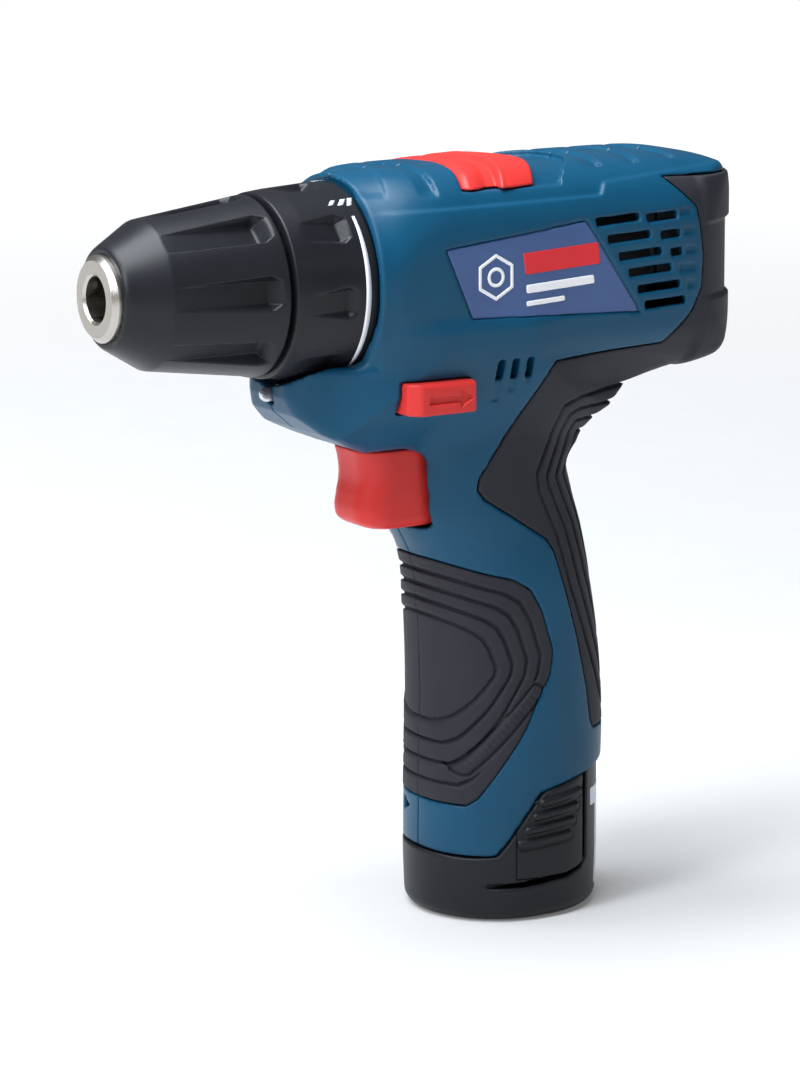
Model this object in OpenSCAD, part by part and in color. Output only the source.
// Compact cordless drill driver: pistol grip, three-jaw keyless chuck, two-speed
// planetary gearbox, and a three-cell battery stick that plugs up into the handle.
// Origin: centre of the battery foot. +Z up, the chuck points along -X.
// Inside tool(), x is counted from the chuck nose and z from the chuck axis.

/* [Overall] */
// Height of the chuck axis above the foot
axis_h = 155.3; // [155.3:0.1:156]
// Distance of the chuck nose in front of the foot centre
nose_reach = 107; // [106:0.5:108]
// Half width of the motor barrel
barrel_w = 27; // [26.8:0.1:27.4]
// Height of the top plate above the chuck axis
barrel_top = 26.3; // [26:0.1:27]

/* [Chuck] */
// Radius of the open bore
bore_r = 5.25; // [5:0.05:5.25]
// Radius of one jaw
jaw_r = 2.9; // [2.7:0.1:2.9]
// Angle between a jaw and the chuck axis
jaw_tilt = 15.5; // [15:0.5:16]
// Jaw travel from open to closed
jaw_travel = 18; // [15:0.5:18.3]
// Rear radius of the gripping sleeve
sleeve_r = 21; // [20.8:0.1:21.2]
// Length of the gripping sleeve
sleeve_end = 39; // [38.5:0.1:39]

/* [Torque collar] */
// Rear radius of the collar
collar_r = 22.8; // [22.6:0.1:22.9]
// Number of flutes round the sleeve, and of pockets round the collar
flutes = 8; // [6:1:10]

/* [Gearbox] */
// Tooth module of all three stages
gear_m = 0.55; // [0.54:0.005:0.55]
// Play between meshing teeth
backlash = 0.14; // [0.12:0.01:0.18]
// Outer radius of the gearbox case
case_r = 18; // [18:0.1:18.2]

/* [Motor] */
// Outer radius of the motor can
motor_r = 15; // [14.6:0.1:15]
// Radius of the motor shaft
shaft_r = 1.6; // [1.5:0.05:1.6]

/* [Battery] */
// Radius of one round cell
cell_r = 9.1; // [9:0.05:9.15]
// Length of one round cell
cell_len = 65; // [65:0.1:65.2]
// Half width of the battery foot
foot_w = 22.4; // [22.2:0.1:22.8]

/* [Hidden] */
$fn = 64;
eps = 0.02;
run = 0.05;        // running clearance on a shaft
sun_n = 18;
planet_n = 15;
ring_n = 48;
planet_at = gear_m * (sun_n + planet_n) / 2;
cell_at = 10.6;    // distance of each cell from the stick centre
stick_top = 84;

// ---------------------------------------------------------------- helpers

// Moves a shape from chuck-axis coordinates to the part's own frame.
module tool() { translate([-nose_reach, 0, axis_h]) children(); }

// Turns a shape drawn along +Z so that it runs along +X.
module along_x(x) { translate([x, 0, 0]) rotate([0, 90, 0]) children(); }

// A ring or rod along the chuck axis, from x0 to x1.
module rod(x0, x1, r) { along_x(x0) cylinder(h = x1 - x0, r = r); }
module ring(x0, x1, r, hole) {
    along_x(x0) difference() {
        cylinder(h = x1 - x0, r = r);
        translate([0, 0, -1]) cylinder(h = x1 - x0 + 2, r = hole);
    }
}

// A side view [x, z] given a thickness in y, centred or from y0 to y1.
module side_plate(points, y0, y1) {
    translate([0, y1, 0]) rotate([90, 0, 0]) linear_extrude(y1 - y0) polygon(points);
}

// A cross section [y, z], mirrored about the middle, carried from x0 to x1.
module cross_bar(half, x0, x1) {
    translate([x0, 0, 0]) rotate([90, 0, 90]) linear_extrude(x1 - x0)
        polygon(concat(half, [for (i = [len(half) - 1:-1:0]) [-half[i][0], half[i][1]]]));
}

// Points of an arc of radius r about [x, y], from angle a0 to a1, in n steps.
function arc(x, y, r, a0, a1, n) =
    [for (i = [0:n]) let (a = a0 + (a1 - a0) * i / n) [x + r * cos(a), y + r * sin(a)]];

// Column with rounded ends: half depth a along x, half width b along y.
module column(a, b, z0, z1) {
    translate([0, 0, z0]) linear_extrude(z1 - z0)
        polygon(concat(arc(a - b, 0, b, -90, 90, 16), arc(b - a, 0, b, 90, 270, 16)));
}

// Keeps the half of a shape on one side of the parting plane: side -1 or 1.
module one_side(side) {
    intersection() {
        children();
        translate([-200, side < 0 ? -60 : 0, -200]) cube([500, 60, 300]);
    }
}

// A coil spring along +X: wire swept round a helix with closed flat ends.
module coil(r, wire, length, turns) {
    n = turns * 20;
    sides = 8;
    points = [for (i = [0:n]) let (a = 360 * turns * i / n, x = length * i / n)
        for (k = [0:sides - 1]) let (b = 360 * k / sides, q = r + wire * cos(b))
            [x + wire * sin(b), q * cos(a), q * sin(a)]];
    walls = [for (i = [0:n - 1], k = [0:sides - 1]) let (k2 = (k + 1) % sides)
        [i * sides + k, i * sides + k2, (i + 1) * sides + k2, (i + 1) * sides + k]];
    first = [for (k = [sides - 1:-1:0]) k];
    last = [for (k = [0:sides - 1]) n * sides + k];
    polyhedron(points, concat([first, last], walls), convexity = 8);
}

// ---------------------------------------------------------------- gears

// Half the angle that a tooth fills at radius r on an involute gear of n teeth.
function involute(r, base) = let (c = base / r, a = acos(c)) tan(a) * 180 / PI - a;
function tooth_half(n, r, play) =
    let (pitch = n * gear_m / 2, base = pitch * cos(20))
    90 / n - play * 180 / PI / pitch + involute(pitch, base) - involute(max(r, base), base);

// Outline of a spur gear with a tooth centred on +X. play thins each flank.
module gear_outline(n, play, grow) {
    pitch = n * gear_m / 2;
    foot = pitch - 1.2 * gear_m + grow;
    tip = pitch + 0.9 * gear_m + grow;
    levels = [foot, pitch - 0.4 * gear_m, pitch + 0.3 * gear_m, tip];
    polygon([for (i = [0:n - 1]) let (a = 360 * i / n) each concat(
        [for (r = levels) let (t = a - tooth_half(n, r, play)) r * [cos(t), sin(t)]],
        [for (j = [3:-1:0]) let (r = levels[j], t = a + tooth_half(n, r, play))
            r * [cos(t), sin(t)]])]);
}

module spur(n, x0, x1, hole) {
    along_x(x0) difference() {
        linear_extrude(x1 - x0) gear_outline(n, backlash / 4, 0);
        if (hole > 0) translate([0, 0, -1]) cylinder(h = x1 - x0 + 2, r = hole);
    }
}

module ring_gear(x0, x1, outer) {
    along_x(x0) difference() {
        cylinder(h = x1 - x0, r = outer);
        translate([0, 0, -1]) linear_extrude(x1 - x0 + 2)
            gear_outline(ring_n, -backlash / 4, 0.14);
    }
}

// Puts a shape at planet place k, 0 to 2, keeping its teeth in mesh.
module at_planet(k) { rotate([120 * k, 0, 0]) translate([0, 0, -planet_at]) children(); }

module planet(k, x0, x1) { at_planet(k) spur(planet_n, x0, x1, 1.6 + run); }

// Carrier disc with three planet pins and, on the other side, the next sun gear.
module carrier(disc0, disc1, pin_end) {
    rod(disc0, disc1, 11.3);
    for (k = [0:2]) at_planet(k) rod(disc1 - 1, pin_end, 1.6);
}

// Faces between the parts of the gear train, along the chuck axis.
stage_3 = [62.4, 65, 69.8];      // carrier disc front, disc rear, planet end
stage_2 = [70.4, 72.6, 76.9];
stage_1 = [77.4, 82.4, 86.8];

// ---------------------------------------------------------------- housing

barrel_side = [[61, -25], [61, 25], [66, 26], [80, barrel_top], [151, barrel_top],
    [160, 24.8], [165, 21.6], [167.8, 13], [168.6, 2], [168.2, -8], [165.4, -15],
    [159, -20.6], [146, -24.6], [133, -27], [100, -27]];
barrel_plan = [[60, 28], [140, 28], [150, 24.8], [158.4, 19], [164, 12], [167.4, 5], [168.6, 0]];
barrel_half = [[0, 27], [10, 26.4], [18, 24], [24.6, 17.8], [26.8, 10], [barrel_w, 2],
    [26.8, -9], [23.6, -18.6], [15, -24], [0, -28]];
throat_side = [[44, -19], [44, -26], [45.6, -29.6], [50.6, -34], [57.4, -37.2],
    [63, -39.4], [79, -39.4], [79, -59], [81, -66], [83, -76], [124, -76],
    [122, -50], [122, -42], [125, -35], [132, -29], [142, -25.5], [132, -15], [61, -15]];
throat_half = [[0, -14], [25.8, -14], [24.6, -20], [22.6, -28], [20.4, -36],
    [19.2, -46], [19.2, -58], [20.6, -68], [21.6, -78], [0, -78]];
chin_plan = [[43.4, 0], [43.4, 9], [46, 12], [54, 17], [64, 22], [78, 26.6], [98, 26.6],
    [110, 21], [124, 17], [144, 13], [144, 0]];
stick_x = 106.8;     // centre of the handle column and of the battery
grip_a = 24;         // half depth of the handle
grip_b = 21.8;       // half width of the handle

// Line between the tool's lower edge and the battery foot, from front to rear.
split_line = [[83, -139], [94, -139], [96, -136.8], [105, -124.4], [111, -123],
    [132, -118.6]];

// Plan outline [x, y] given for one side, mirrored about the middle.
module plan(half, z0, z1) {
    translate([0, 0, z0]) linear_extrude(z1 - z0)
        polygon(concat(half, [for (i = [len(half) - 1:-1:0]) [half[i][0], -half[i][1]]]));
}

module barrel() {
    intersection() {
        side_plate(barrel_side, -30, 30);
        cross_bar(barrel_half, 60, 175);
        plan(barrel_plan, -40, 40);
    }
}

// The body above the trigger, and the neck that joins it to the handle.
module throat() {
    intersection() {
        side_plate(throat_side, -30, 30);
        cross_bar(throat_half, 40, 150);
        union() {
            plan(chin_plan, -42, 0);
            translate([100.8, 0, 0]) column(23.4, 19.6, -60, -40);
            translate([103.6, 0, 0]) column(23, 20.8, -76, -56);
        }
    }
}

module handle() {
    side = concat([[83, -68], [83.2, -80], [83.6, -95], [83.6, -139]],
        [for (i = [1:len(split_line) - 1]) split_line[i]],
        [[132, -107], [131, -95], [129, -80], [126, -64], [100, -60]]);
    intersection() {
        translate([stick_x, 0, 0]) column(25, grip_b, -140, -60);
        side_plate(side, -30, 30);
    }
}

module shell_outside() {
    barrel();
    throat();
    handle();
    rod(58.6, 66, 25.2);
}

// Gear selector: front and rear edges bow back towards the middle of the top.
// Each is [distance from the middle plane, x].
slider_front = [[0, 88.6], [8, 87.1], [16, 85], [25, 82.4]];
slider_rear = [[0, 110.2], [8, 109], [16, 105.6], [25, 100.4]];
slider_seat = [[0, 121.4], [8, 119.8], [13, 116.6], [18, 112.8], [25, 107.8]];

// Part of the barrel's skin between two such edges, from inner to outer scale of the section.
module slider_zone(front, rear, outer, inner, low = 19.8) {
    edge = concat(front, [for (i = [len(rear) - 1:-1:0]) rear[i]]);
    difference() {
        intersection() {
            union() for (s = [-1, 1]) translate([0, 0, low]) linear_extrude(14)
                polygon([for (p = edge) [p[1], s * p[0]]]);
            cross_bar([for (p = barrel_half) [p[0] * outer, p[1] * outer]], 60, 130);
        }
        cross_bar([for (p = barrel_half) [p[0] * inner, p[1] * inner]], 59, 131);
    }
}

// Everything that is hollow inside the tool housing.
module shell_inside() {
    rod(40, 61.1, 23.3);
    rod(61, 90.05, case_r + run);
    rod(90, 140.1, motor_r + run);
    rod(140, 145, 10);
    intersection() {
        cross_bar([for (p = barrel_half) [p[0] * 0.905, p[1] * 0.905]], 96, 152);
        translate([96, -30, -17.5]) cube([56, 60, 40]);
    }
    translate([92, -11, -68]) cube([24, 22, 54]);
    translate([60, -11.3, -59.3]) cube([32.3, 22.6, 19.9]);
    translate([88, -8, -71.5]) cube([26, 16, 13.5]);
    translate([stick_x, 0, 0]) stick_outline_column(0.5, -141, -70.8);
    translate([66.2, -30, -29.4]) cube([17.6, 60, 7.8]);
    slider_zone([for (p = slider_front) [p[0], p[1] - 0.3]], slider_seat, 1.2, 0.93, 19.6);
    translate([75, -1.4, 17.5]) cube([32.5, 2.8, 7.5]);
    along_x(43) translate([25.4, 0, 0]) cylinder(h = 8, r = 2.3);
}

// Round-cornered triangle of the battery stick, grown by g.
module stick_outline_column(g, z0, z1) {
    translate([0, 0, z0]) linear_extrude(z1 - z0) polygon([for (k = [0:2]) each
        arc(cell_at * cos(120 * k), cell_at * sin(120 * k), cell_r + 0.8 + g,
            120 * k - 60, 120 * k + 60, 10)]);
}

// Cooling slots: six leaning rows at the rear and three upright ones below.
module vents() {
    for (i = [0:5]) translate([119.5 + 2.5 * i, -40, 11.6 - 4.1 * i]) {
        cube([10, 80, 2.2]);
        if (i < 5) translate([12.4, 0, 0]) cube([14 - 2.5 * i, 80, 2.2]);
    }
    for (i = [0:2]) translate([91 + 4 * i, -40, -25 + i]) cube([2, 80, 6 - i]);
}

// Rear cap, belt and spine of soft grip, seen from the side.
spine_side = [[139, 20.9], [150, 20.6], [160, 20.8], [180, 23], [180, -30], [150, -30],
    [135, -34], [135, -110.9], [121.8, -110.9], [119.5, -101], [116.5, -88.6],
    [113, -76], [108.2, -63.3], [91.8, -52.4], [89.8, -49.4], [90.4, -47.1],
    [101.5, -29.2], [106.5, -20.6], [140.4, -17.4], [147.6, -8.7], [147.1, 5.6]];
// Front grip panel, seen from the side.
panel_side = [[70, -64.2], [83, -67.2], [98.7, -72.1], [102.9, -74.8], [105.7, -79.9],
    [108.6, -90], [107.7, -95.3], [100.2, -110.2], [90.7, -125], [88.6, -126.8],
    [70, -126.5]];

skin = 1.6;          // thickness of the soft grip

// The outside of the shell with its surface moved in by the skin thickness.
module shell_core() {
    intersection() {
        cross_bar([for (p = barrel_half) [p[0] * 0.94, p[1] * 0.94]], 60, 168.8);
        translate([60, -30, -24]) cube([109, 60, 60]);
        side_plate([for (p = barrel_side) [p[0] > 100 ? p[0] - skin : p[0], p[1] * 0.95]],
            -30, 30);
    }
    translate([81, -17.4, -75]) cube([39.2, 34.8, 55]);
    translate([stick_x - 0.2, 0, 0]) column(grip_a - 1.2, grip_b - skin, -130, -62);
}

module housing(side) {
    color([0.05, 0.26, 0.38]) tool() one_side(side) difference() {
        shell_outside();
        shell_inside();
        vents();
        label_blank(0.2);
        difference() {
            union() {
                side_plate(spine_side, -40, 40);
                side_plate(panel_side, -40, 40);
            }
            shell_core();
        }
        for (p = screws) translate([p[0], 0, p[1]]) screw_hole();
    }
}
module housing_left() { housing(-1); }
module housing_right() { housing(1); }

module grip(side, outline) {
    color([0.1, 0.1, 0.12]) tool() one_side(side) difference() {
        intersection() {
            shell_outside();
            side_plate(outline, -40, 40);
        }
        shell_core();
        translate([60, -8, -80]) cube([60, 16, 70]);
        translate([stick_x, 0, 0]) stick_outline_column(0.5, -141, -70.8);
        for (p = screws) translate([p[0], 0, p[1]]) screw_hole();
    }
}
module rear_grip_left() { grip(-1, spine_side); }
module rear_grip_right() { grip(1, spine_side); }
module front_grip_left() { grip(-1, panel_side); }
module front_grip_right() { grip(1, panel_side); }

// Places of the housing screws, driven in from the right-hand shell.
screws = [[62.5, -33], [86.5, -63], [118.6, -33], [158, -1], [153, 17], [94, -22.5]];
module screw_hole() {
    rotate([-90, 0, 0]) translate([0, 0, -9]) cylinder(h = 20, r = 1.3, $fn = 24);
    rotate([-90, 0, 0]) translate([0, 0, 11]) cylinder(h = 30, r = 2.7, $fn = 24);
}
module housing_screws() {
    color("silver") tool() for (p = screws) translate([p[0], 0, p[1]])
        rotate([-90, 0, 0]) difference() {
            union() {
                translate([0, 0, -8]) cylinder(h = 19.2, r = 1.3 - eps, $fn = 24);
                translate([0, 0, 11]) cylinder(h = 2.2, r = 2.6, $fn = 24);
            }
            translate([0, 0, 12]) cylinder(h = 2, r = 1.2, $fn = 6);
        }
}

label_side = [[77.1, 8.3], [114.8, 12.3], [130.4, -10], [84.1, -7.9]];
module label_blank(depth) {
    for (s = [-1, 1]) side_plate(label_side, s < 0 ? -28 : 26.3 - depth, s < 0 ? -26.3 + depth : 28);
}
module label_left() { color([0.22, 0.24, 0.4]) tool() side_plate(label_side, -26.5, -26.1); }
module label_right() { color([0.22, 0.24, 0.4]) tool() side_plate(label_side, 26.1, 26.5); }

module work_light() {
    color("white") tool() along_x(43.6) translate([25.4, 0, 0]) {
        cylinder(h = 6, r = 2.2);
        sphere(r = 2);
    }
}

// ---------------------------------------------------------------- chuck

// Distance of a jaw's centre line from the chuck axis at x.
jaw_tip = 9;
function jaw_line(x) = 5.6 + (x - jaw_tip) * tan(jaw_tilt);
jaw_flat = 1.1;      // threaded side of a jaw, above its centre line
close_in = jaw_travel * sin(jaw_tilt);

// Carries a shape drawn along +Z onto the line of jaw k, starting at x.
module on_jaw(k, x) {
    rotate([120 * k, 0, 0]) translate([x, 0, -jaw_line(x)]) rotate([0, 90 + jaw_tilt, 0])
        children();
}
module jaw_profile(grow) {
    intersection() {
        circle(jaw_r + grow);
        translate([-jaw_flat - grow, -10]) square([20, 20]);
    }
}
module jaw(k) {
    color([0.45, 0.45, 0.47]) tool() intersection() {
        on_jaw(k, jaw_tip - 2) linear_extrude(28) mirror([1, 0]) jaw_profile(0);
        rotate([120 * k, 0, 0]) along_x(jaw_tip) linear_extrude(40) polygon([
            [bore_r + 0.05, -0.55], [bore_r + 0.05, 0.55],
            [20, 0.55 + (14.7) * tan(60)], [20, -0.55 - (14.7) * tan(60)]]);
    }
}
module jaw_1() { jaw(0); }
module jaw_2() { jaw(1); }
module jaw_3() { jaw(2); }

module chuck_body() {
    color([0.62, 0.61, 0.6]) tool() difference() {
        along_x(0) rotate_extrude() polygon([[0, 0], [8.75, 0], [9.75, 1], [9.95, 1.2],
            [9.95, 7], [14.4, 12], [14.9, 12.6], [14.9, 23.6], [12.9, 23.6], [12.9, 30.4],
            [14.9, 30.4], [14.9, 41], [0, 41]]);
        rod(-1, 22, bore_r);
        along_x(-eps) cylinder(h = 0.6, r1 = bore_r + 0.6, r2 = bore_r);
        rod(21, 42, 6);
        for (k = [0:2]) on_jaw(k, -14) linear_extrude(56) mirror([1, 0]) jaw_profile(0.08);
    }
}

nut_r = 16.2;        // outer radius of the chuck nut, pressed into the sleeve
// Flat-floored channel along the sleeve or the collar, its floor at height low.
module channel(from, to, low) {
    along_x(from) linear_extrude(to - from) polygon([[low, -2.6], [low, 2.6],
        [low + 6, 5.6], [low + 6, -5.6]]);
}

module chuck_sleeve() {
    color([0.12, 0.12, 0.13]) tool() difference() {
        along_x(0) rotate_extrude() polygon([[9.95 + run, 2.2], [11.2, 2.2], [11.9, 2.8],
            [17.1, 11.4], [sleeve_r, sleeve_end], [15, sleeve_end], [15, 36.5],
            [nut_r, 36], [nut_r, 30.3], [nut_r, 23.7], [15.3, 22], [15.3, 13], [12.2, 8], [9.95 + run, 6.4]]);
        for (i = [1:flutes]) rotate([87 + 360 * i / flutes, 0, 0]) channel(9, 36, 17.3);
    }
}

module chuck_nut() { color("gray") tool() ring(23.8, 30.2, nut_r, 13); }

// ---------------------------------------------------------------- torque collar

module torque_collar() {
    color([0.1, 0.1, 0.11]) tool() difference() {
        along_x(0) rotate_extrude() polygon([[15.6, 40.2], [20.9, 40.2], [21.7, 40.8],
            [22.6, 57], [collar_r, 60.6], [19.6, 60.6], [19.6, 42.6], [15.6, 42.6]]);
        for (i = [1:flutes]) rotate([96 + 360 * i / flutes, 0, 0]) channel(44, 54.6, 20.9);
    }
}

module clutch_spring() { color("silver") tool() translate([46.4, 0, 0]) coil(15.6, 1.1, 8.8, 3); }

module clutch_pins() {
    color("silver") tool() {
        ring(57, 58.6, 18.4, 12.3);
        for (i = [0:5]) rotate([60 * i, 0, 0]) translate([0, 0, 14.6]) rod(58.6, 64.7, 1.3);
    }
}

// ---------------------------------------------------------------- gearbox

module gearbox_case() {
    color([0.3, 0.3, 0.32]) tool() difference() {
        union() {
            rod(60.7, 90, case_r);
            rod(42.8, 61, 12);
        }
        rod(62, 91, 16.4);
        rod(40, 63, 6 + 1);
        rod(42, 48.02, 10);
        for (i = [0:5]) rotate([60 * i, 0, 0]) translate([0, 0, 14.6]) rod(60, 63, 1.35);
        translate([72, -2.2, 12]) cube([10, 4.4, 10]);
    }
}
module spindle_bearing() { color("silver") tool() ring(43, 48, 9.98, 6 + run); }

module spindle() {
    color([0.6, 0.6, 0.62]) tool() {
        rod(24, stage_3[0] + 0.1, 6);
        carrier(stage_3[0], stage_3[1], stage_3[2]);
    }
}
module ring_gear_3() { color("dimgray") tool() ring_gear(65.2, 70.1, 16.38); }
module ring_gear_2() {
    color([0.75, 0.72, 0.6]) tool() difference() {
        ring_gear(72.5, 79.8, 16.3);
        difference() {
            rod(75.6, 76.8, 20);
            rod(75, 78, 15.2);
        }
    }
}
module ring_gear_1() { color("dimgray") tool() ring_gear(83, 89.9, 16.38); }
module carrier_2() {
    color("gray") tool() {
        carrier(stage_2[0], stage_2[1], stage_2[2]);
        spur(sun_n, 65.3, stage_2[0] + 0.5, 0);
    }
}
module carrier_1() {
    color("gray") tool() {
        carrier(stage_1[0], stage_1[1], stage_1[2]);
        spur(sun_n, 72.9, stage_1[0] + 0.5, 0);
    }
}
module planet_3a() { color("silver") tool() planet(0, 65.3, 69.7); }
module planet_3b() { color("silver") tool() planet(1, 65.3, 69.7); }
module planet_3c() { color("silver") tool() planet(2, 65.3, 69.7); }
module planet_2a() { color("silver") tool() planet(0, 72.9, 76.8); }
module planet_2b() { color("silver") tool() planet(1, 72.9, 76.8); }
module planet_2c() { color("silver") tool() planet(2, 72.9, 76.8); }
module planet_1a() { color("silver") tool() planet(0, 82.8, 86.7); }
module planet_1b() { color("silver") tool() planet(1, 82.8, 86.7); }
module planet_1c() { color("silver") tool() planet(2, 82.8, 86.7); }
module pinion() { color("goldenrod") tool() spur(sun_n, 82.8, 88.4, shaft_r); }

// ---------------------------------------------------------------- motor

module motor_can() {
    color([0.55, 0.56, 0.58]) tool() difference() {
        rod(90, 126, motor_r);
        rod(91.4, 127, motor_r - 1.2);
        rod(89, 92, shaft_r + run);
    }
}
module motor_end_cap() {
    color([0.15, 0.15, 0.16]) tool() difference() {
        rod(126, 140, motor_r);
        rod(125, 137.6, motor_r - 2);
        rod(136, 141, shaft_r + run);
    }
}
module motor_magnets() {
    color([0.25, 0.25, 0.27]) tool() difference() {
        ring(97, 124, motor_r - 1.2, 12);
        translate([90, -20, -6]) cube([40, 40, 12]);
    }
}
module armature() {
    color([0.5, 0.3, 0.15]) tool() difference() {
        union() {
            rod(98, 121, 11.4);
            rod(82.8, 139.6, shaft_r);
        }
        for (i = [0:4]) rotate([72 * i, 0, 0]) translate([97, -1, 6]) cube([25, 2, 8]);
    }
}
module commutator() {
    color([0.75, 0.45, 0.2]) tool() difference() {
        ring(127.5, 134, 4.6, shaft_r);
        for (i = [0:4]) rotate([72 * i, 0, 0]) translate([127, -0.2, 3.9]) cube([8, 0.4, 2]);
    }
}
module motor_fan() {
    color([0.2, 0.2, 0.22]) tool() {
        ring(92, 96.6, 3.4, shaft_r);
        for (i = [0:8]) rotate([40 * i, 0, 0]) translate([92.4, -0.6, 3]) cube([4, 1.2, 9]);
    }
}
module carbon_brushes() {
    color([0.2, 0.2, 0.2]) tool() for (s = [-1, 1])
        translate([128.4, s > 0 ? 4.7 : -11.7, -1.8]) cube([4, 7, 3.6]);
}

// ---------------------------------------------------------------- controls

// Two-humped slider that wraps over the top, with a foot that carries the shift wire.
module gear_selector() {
    color([0.85, 0.12, 0.1]) tool() {
        difference() {
            slider_zone(slider_front, slider_rear, 1.065, 0.936);
            // Valley between the two humps.
            slider_zone([for (p = slider_front) [p[0], p[1] + 7.4]],
                [for (p = slider_front) [p[0], p[1] + 10]], 1.2, 1.01);
        }
        translate([92, -1.2, 20.6]) cube([8, 2.4, 4.4]);
    }
}
module shift_wire() {
    color("silver") tool() {
        ring(75.7, 76.7, 16.25, 15.3);
        translate([75.7, -0.6, 16]) cube([1, 1.2, 3.6]);
        translate([75.7, -0.6, 18.6]) cube([15, 1.2, 1]);
    }
}
module direction_selector() {
    color([0.85, 0.12, 0.1]) tool() {
        translate([66.4, -27.6, -29.2]) cube([17.2, 11, 7.4]);
        translate([66.4, 11, -29.2]) cube([17.2, 11, 7.4]);
        translate([68.4, -17, -28.4]) cube([13.2, 29, 5.8]);
    }
}

trigger_side = [[64.3, -39.9], [65.1, -43], [65.4, -47.5], [64.7, -51.5], [64.2, -55],
    [65.4, -57.6], [68.4, -58.9], [83.4, -58.9], [83.4, -39.9]];
module trigger() {
    color([0.85, 0.12, 0.1]) tool() {
        side_plate(trigger_side, -10.9, 10.9);
        translate([0, 0, -50]) rod(83, 93.6, 2.2);
    }
}
module trigger_spring() {
    color("silver") tool() translate([84, 0, -50]) coil(3.6, 0.4, 7.4, 5);
}
module switch_body() {
    color([0.2, 0.2, 0.22]) tool() difference() {
        translate([92.2, -10, -61]) cube([19.6, 20, 26]);
        translate([0, 0, -50]) rod(91, 101, 2.2 + run);
    }
}
module contact_block() {
    color([0.15, 0.15, 0.16]) tool() difference() {
        translate([94, -7, -67.6]) cube([18, 14, 6.4]);
        for (s = [-1:1]) translate([96, s * 4 - 0.6, -68]) cube([14, 1.2, 5]);
    }
}

// ---------------------------------------------------------------- battery

stick_at = stick_x - nose_reach;

module battery_case() {
    color([0.13, 0.13, 0.14]) translate([stick_at, 0, 0]) difference() {
        stick_outline_column(0, 16, stick_top);
        for (k = [0:2]) rotate(120 * k) translate([cell_at, 0, 17]) cylinder(h = 66, r = cell_r);
    }
}
module battery_cells() {
    color([0.2, 0.45, 0.6]) translate([stick_at, 0, 0])
        for (k = [0:2]) rotate(120 * k) translate([cell_at, 0, 17.4]) {
            cylinder(h = cell_len, r = cell_r - 0.1);
            translate([0, 0, cell_len - eps]) cylinder(h = 0.5, r = 3);
        }
}
module battery_contacts() {
    color("gold") translate([0, 0, stick_top]) for (s = [-1:1])
        translate([-10, s * 4 - 0.4, 0]) cube([12, 0.8, 6]);
}

// Outer foot: rises from a low front edge to a tall rear, below the split line.
module foot_blank() {
    side = concat([[83 - 1, -180], [82, -139.2]],
        [for (i = [1:len(split_line) - 1]) split_line[i] - [0, 0.2]], [[133, -180]]);
    intersection() {
        union() {
            translate([0, 0, 2.6]) linear_extrude(38) foot_outline(0);
            foot_edge();
        }
        tool() side_plate(side, -30, 30);
    }
}
module foot_outline(inset) {
    r = foot_w - inset;
    translate([stick_at, 0])
        polygon(concat(arc(1.6, 0, r, -90, 90, 20), arc(-1.2, 0, r, 90, 270, 20)));
}
// Lower edge of the foot, rounded in three steps.
module foot_edge() {
    for (i = [0:2]) let (a = 30 * i, in = 2.6 * (1 - sin(a)), z = 2.6 * (1 - cos(a)))
        translate([0, 0, z]) linear_extrude(3 - z) foot_outline(in);
}
flap_in = 19.3;      // inner face of a release flap
flap_side = [[98.5, -145.4], [98.5, -133.8], [105.6, -124.8], [118, -121.6], [118, -143.6]];
module battery_base() {
    color([0.1, 0.1, 0.11]) difference() {
        foot_blank();
        translate([stick_at, 0, 0]) stick_outline_column(0, 16 - eps, 60);
        tool() difference() {
            side_plate([for (p = flap_side) [p[0] + (p[0] < 110 ? -0.4 : 0.4), p[1] +
                (p[1] < -140 ? -0.4 : 0.6)]], -40, 40);
            plan([[90, flap_in - 0.2], [98, flap_in - 0.2], [119, flap_in - 2],
                [130, flap_in - 2]], -150, -110);
        }
        tool() label_pocket(0.3);
    }
}
module flap(side) {
    color([0.1, 0.1, 0.11]) intersection() {
        foot_blank();
        tool() side_plate(flap_side, side < 0 ? -40 : flap_in, side < 0 ? -flap_in : 40);
    }
}
module release_flap_left() { flap(-1); }
module release_flap_right() { flap(1); }
module label_pocket(depth) {
    translate([129.4 - depth, -7, -150]) cube([5, 14, 24]);
}
module battery_label() {
    color([0.75, 0.76, 0.78]) tool() translate([129.1, -6.9, -149.9]) cube([0.5, 13.8, 23.8]);
}

housing_left();
housing_right();
rear_grip_left();
rear_grip_right();
front_grip_left();
front_grip_right();
housing_screws();
label_left();
label_right();
work_light();
torque_collar();
clutch_spring();
clutch_pins();
gearbox_case();
spindle_bearing();
spindle();
ring_gear_3();
ring_gear_2();
ring_gear_1();
carrier_2();
carrier_1();
planet_3a();
planet_3b();
planet_3c();
planet_2a();
planet_2b();
planet_2c();
planet_1a();
planet_1b();
planet_1c();
pinion();
motor_can();
motor_end_cap();
motor_magnets();
armature();
commutator();
motor_fan();
carbon_brushes();
chuck_body();
chuck_sleeve();
chuck_nut();
jaw_1();
jaw_2();
jaw_3();
gear_selector();
shift_wire();
direction_selector();
trigger();
trigger_spring();
switch_body();
contact_block();
battery_case();
battery_base();
battery_cells();
battery_contacts();
release_flap_left();
release_flap_right();
battery_label();
